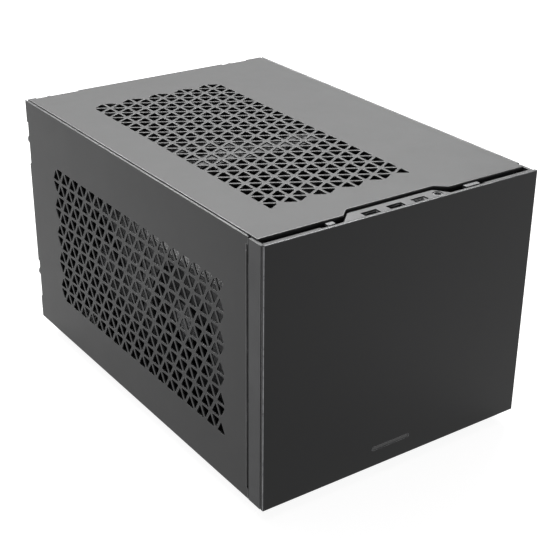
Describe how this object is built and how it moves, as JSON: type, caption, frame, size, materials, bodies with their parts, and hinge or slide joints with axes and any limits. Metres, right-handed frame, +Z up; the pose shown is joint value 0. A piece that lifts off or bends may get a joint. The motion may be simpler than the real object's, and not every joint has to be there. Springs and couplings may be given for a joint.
{
  "type": "desktop computer tower",
  "caption": "Low, deep desktop computer tower: sheet-steel box with slide-off vented panels, flat front plate, top-edge ports and buttons, and full internal parts.",
  "frame": {"origin": "centre of the footprint on the table, under the rubber feet", "axes": "+Z up, front plate faces -Y, +X to the right seen from the front"},
  "size_m": [0.247, 0.371, 0.219],
  "materials": {
    "chassis_steel": "semi-matt black powder coat on sheet steel",
    "panel_steel": "fine-textured dark grey powder coat",
    "front_metal": "black anodised, fine brushed, satin",
    "bezel_plastic": "fine-textured moulded black plastic",
    "button_metal": "satin dark grey button caps",
    "foot_rubber": "matt black rubber",
    "screw_metal": "black plated knurled screws",
    "zinc_steel": "bright zinc-plated steel",
    "circuit_board": "black solder mask",
    "fin_aluminium": "black anodised aluminium fins",
    "dark_aluminium": "dark anodised aluminium",
    "fan_plastic": "matt black plastic",
    "port_metal": "nickel-plated connector shells",
    "cable_sheath": "black PVC sheath"
  },
  "bodies": {
    "chassis": {"ac_extension_cable": "cable_sheath", "chassis_base": "chassis_steel", "chassis_front": "chassis_steel", "chassis_rail_left": "chassis_steel", "chassis_rail_right": "chassis_steel", "chassis_rear": "chassis_steel", "cpu_fan_frame": "fan_plastic", "cpu_heatsink": "fin_aluminium", "cross_brace": "chassis_steel", "foot_front_left": "foot_rubber", "foot_front_right": "foot_rubber", "foot_rear_left": "foot_rubber", "foot_rear_right": "foot_rubber", "front_audio_jack": "bezel_plastic", "front_frame": "bezel_plastic", "front_io_board": "circuit_board", "front_plate": "front_metal", "front_usb_a_1": "port_metal", "front_usb_a_2": "port_metal", "front_usb_c": "port_metal", "gpu_board": "circuit_board", "gpu_bracket": "chassis_steel", "gpu_heatsink": "fin_aluminium", "gpu_power_cable": "cable_sheath", "gpu_shroud": "fan_plastic", "io_shield": "zinc_steel", "main_power_cable": "cable_sheath", "motherboard": "circuit_board", "psu_case": "chassis_steel", "psu_cover": "chassis_steel", "ram_1": "dark_aluminium", "ram_2": "dark_aluminium", "rear_fan_frame": "fan_plastic", "rear_io_ports": "port_metal", "rear_power_inlet": "bezel_plastic", "slot_cover": "chassis_steel", "solid_state_drive": "dark_aluminium"},
    "left_panel": {"left_panel": "panel_steel"},
    "right_panel": {"right_panel": "panel_steel"},
    "top_panel": {"top_panel": "panel_steel"},
    "power_button": {"power_button": "button_metal"},
    "reset_button": {"reset_button": "button_metal"},
    "rear_fan_rotor": {"rear_fan_rotor": "fan_plastic"},
    "cpu_fan_rotor": {"cpu_fan_rotor": "fan_plastic"},
    "gpu_fan_rotor_1": {"gpu_fan_rotor_1": "fan_plastic"},
    "gpu_fan_rotor_2": {"gpu_fan_rotor_2": "fan_plastic"},
    "psu_fan_rotor": {"psu_fan_rotor": "fan_plastic"},
    "psu_switch": {"psu_switch": "fan_plastic"},
    "thumbscrew_left_upper": {"thumbscrew_left_upper": "screw_metal"},
    "washer_left_upper": {"washer_left_upper": "zinc_steel"},
    "thumbscrew_left_lower": {"thumbscrew_left_lower": "screw_metal"},
    "washer_left_lower": {"washer_left_lower": "zinc_steel"},
    "thumbscrew_right_upper": {"thumbscrew_right_upper": "screw_metal"},
    "washer_right_upper": {"washer_right_upper": "zinc_steel"},
    "thumbscrew_right_lower": {"thumbscrew_right_lower": "screw_metal"},
    "washer_right_lower": {"washer_right_lower": "zinc_steel"},
    "thumbscrew_top_left": {"thumbscrew_top_left": "screw_metal"},
    "washer_top_left": {"washer_top_left": "zinc_steel"},
    "thumbscrew_top_right": {"thumbscrew_top_right": "screw_metal"},
    "washer_top_right": {"washer_top_right": "zinc_steel"}
  },
  "joints": [
    {"name": "left_panel_slide", "type": "slide", "parent": "chassis", "child": "left_panel", "axis": [0, 1, 0], "range_m": [0, 0.36]},
    {"name": "right_panel_slide", "type": "slide", "parent": "chassis", "child": "right_panel", "axis": [0, 1, 0], "range_m": [0, 0.36]},
    {"name": "top_panel_slide", "type": "slide", "parent": "chassis", "child": "top_panel", "axis": [0, 1, 0], "range_m": [0, 0.37]},
    {"name": "power_button_press", "type": "slide", "parent": "chassis", "child": "power_button", "axis": [0, 0, -1], "range_m": [0, 0.001], "stiffness_N_per_m": 900},
    {"name": "reset_button_press", "type": "slide", "parent": "chassis", "child": "reset_button", "axis": [0, 0, -1], "range_m": [0, 0.001], "stiffness_N_per_m": 900},
    {"name": "rear_fan_spin", "type": "hinge", "parent": "chassis", "child": "rear_fan_rotor", "pos_m": [0.018, 0.161, 0.128], "axis": [0, 1, 0], "continuous": true},
    {"name": "cpu_fan_spin", "type": "hinge", "parent": "chassis", "child": "cpu_fan_rotor", "pos_m": [0.023, 0.071, 0.122], "axis": [0, 1, 0], "continuous": true},
    {"name": "gpu_fan_1_spin", "type": "hinge", "parent": "chassis", "child": "gpu_fan_rotor_1", "pos_m": [-0.0855, 0.104, 0.086], "axis": [1, 0, 0], "continuous": true},
    {"name": "gpu_fan_2_spin", "type": "hinge", "parent": "chassis", "child": "gpu_fan_rotor_2", "pos_m": [-0.0855, -0.03, 0.086], "axis": [1, 0, 0], "continuous": true},
    {"name": "psu_fan_spin", "type": "hinge", "parent": "chassis", "child": "psu_fan_rotor", "pos_m": [0.106, -0.071, 0.0877], "axis": [1, 0, 0], "continuous": true},
    {"name": "psu_switch_rock", "type": "hinge", "parent": "chassis", "child": "psu_switch", "pos_m": [0.0965, -0.1388, 0.125], "axis": [1, 0, 0], "range_deg": [0, 16]},
    {"name": "washer_left_upper_slide", "type": "slide", "parent": "left_panel", "child": "washer_left_upper", "axis": [0, 1, 0], "range_m": [0, 0.0059]},
    {"name": "thumbscrew_left_upper_turn", "type": "hinge", "parent": "washer_left_upper", "child": "thumbscrew_left_upper", "pos_m": [-0.1163, 0.1818, 0.181], "axis": [0, 1, 0], "range_deg": [0, 2700]},
    {"name": "washer_left_lower_slide", "type": "slide", "parent": "left_panel", "child": "washer_left_lower", "axis": [0, 1, 0], "range_m": [0, 0.0059]},
    {"name": "thumbscrew_left_lower_turn", "type": "hinge", "parent": "washer_left_lower", "child": "thumbscrew_left_lower", "pos_m": [-0.1163, 0.1818, 0.053], "axis": [0, 1, 0], "range_deg": [0, 2700]},
    {"name": "washer_right_upper_slide", "type": "slide", "parent": "right_panel", "child": "washer_right_upper", "axis": [0, 1, 0], "range_m": [0, 0.0059]},
    {"name": "thumbscrew_right_upper_turn", "type": "hinge", "parent": "washer_right_upper", "child": "thumbscrew_right_upper", "pos_m": [0.1163, 0.1818, 0.181], "axis": [0, 1, 0], "range_deg": [0, 2700]},
    {"name": "washer_right_lower_slide", "type": "slide", "parent": "right_panel", "child": "washer_right_lower", "axis": [0, 1, 0], "range_m": [0, 0.0059]},
    {"name": "thumbscrew_right_lower_turn", "type": "hinge", "parent": "washer_right_lower", "child": "thumbscrew_right_lower", "pos_m": [0.1163, 0.1818, 0.053], "axis": [0, 1, 0], "range_deg": [0, 2700]},
    {"name": "washer_top_left_slide", "type": "slide", "parent": "top_panel", "child": "washer_top_left", "axis": [0, 1, 0], "range_m": [0, 0.0059]},
    {"name": "thumbscrew_top_left_turn", "type": "hinge", "parent": "washer_top_left", "child": "thumbscrew_top_left", "pos_m": [-0.0983, 0.1818, 0.2118], "axis": [0, 1, 0], "range_deg": [0, 2700]},
    {"name": "washer_top_right_slide", "type": "slide", "parent": "top_panel", "child": "washer_top_right", "axis": [0, 1, 0], "range_m": [0, 0.0059]},
    {"name": "thumbscrew_top_right_turn", "type": "hinge", "parent": "washer_top_right", "child": "thumbscrew_top_right", "pos_m": [0.0885, 0.1818, 0.2118], "axis": [0, 1, 0], "range_deg": [0, 2700]}
  ],
  "couplings": [
    {"joint": "thumbscrew_left_upper_turn", "follows": "washer_left_upper_slide", "rad_per_m": 7913.3},
    {"joint": "thumbscrew_left_lower_turn", "follows": "washer_left_lower_slide", "rad_per_m": 7913.3},
    {"joint": "thumbscrew_right_upper_turn", "follows": "washer_right_upper_slide", "rad_per_m": 7913.3},
    {"joint": "thumbscrew_right_lower_turn", "follows": "washer_right_lower_slide", "rad_per_m": 7913.3},
    {"joint": "thumbscrew_top_left_turn", "follows": "washer_top_left_slide", "rad_per_m": 7913.3},
    {"joint": "thumbscrew_top_right_turn", "follows": "washer_top_right_slide", "rad_per_m": 7913.3}
  ]
}
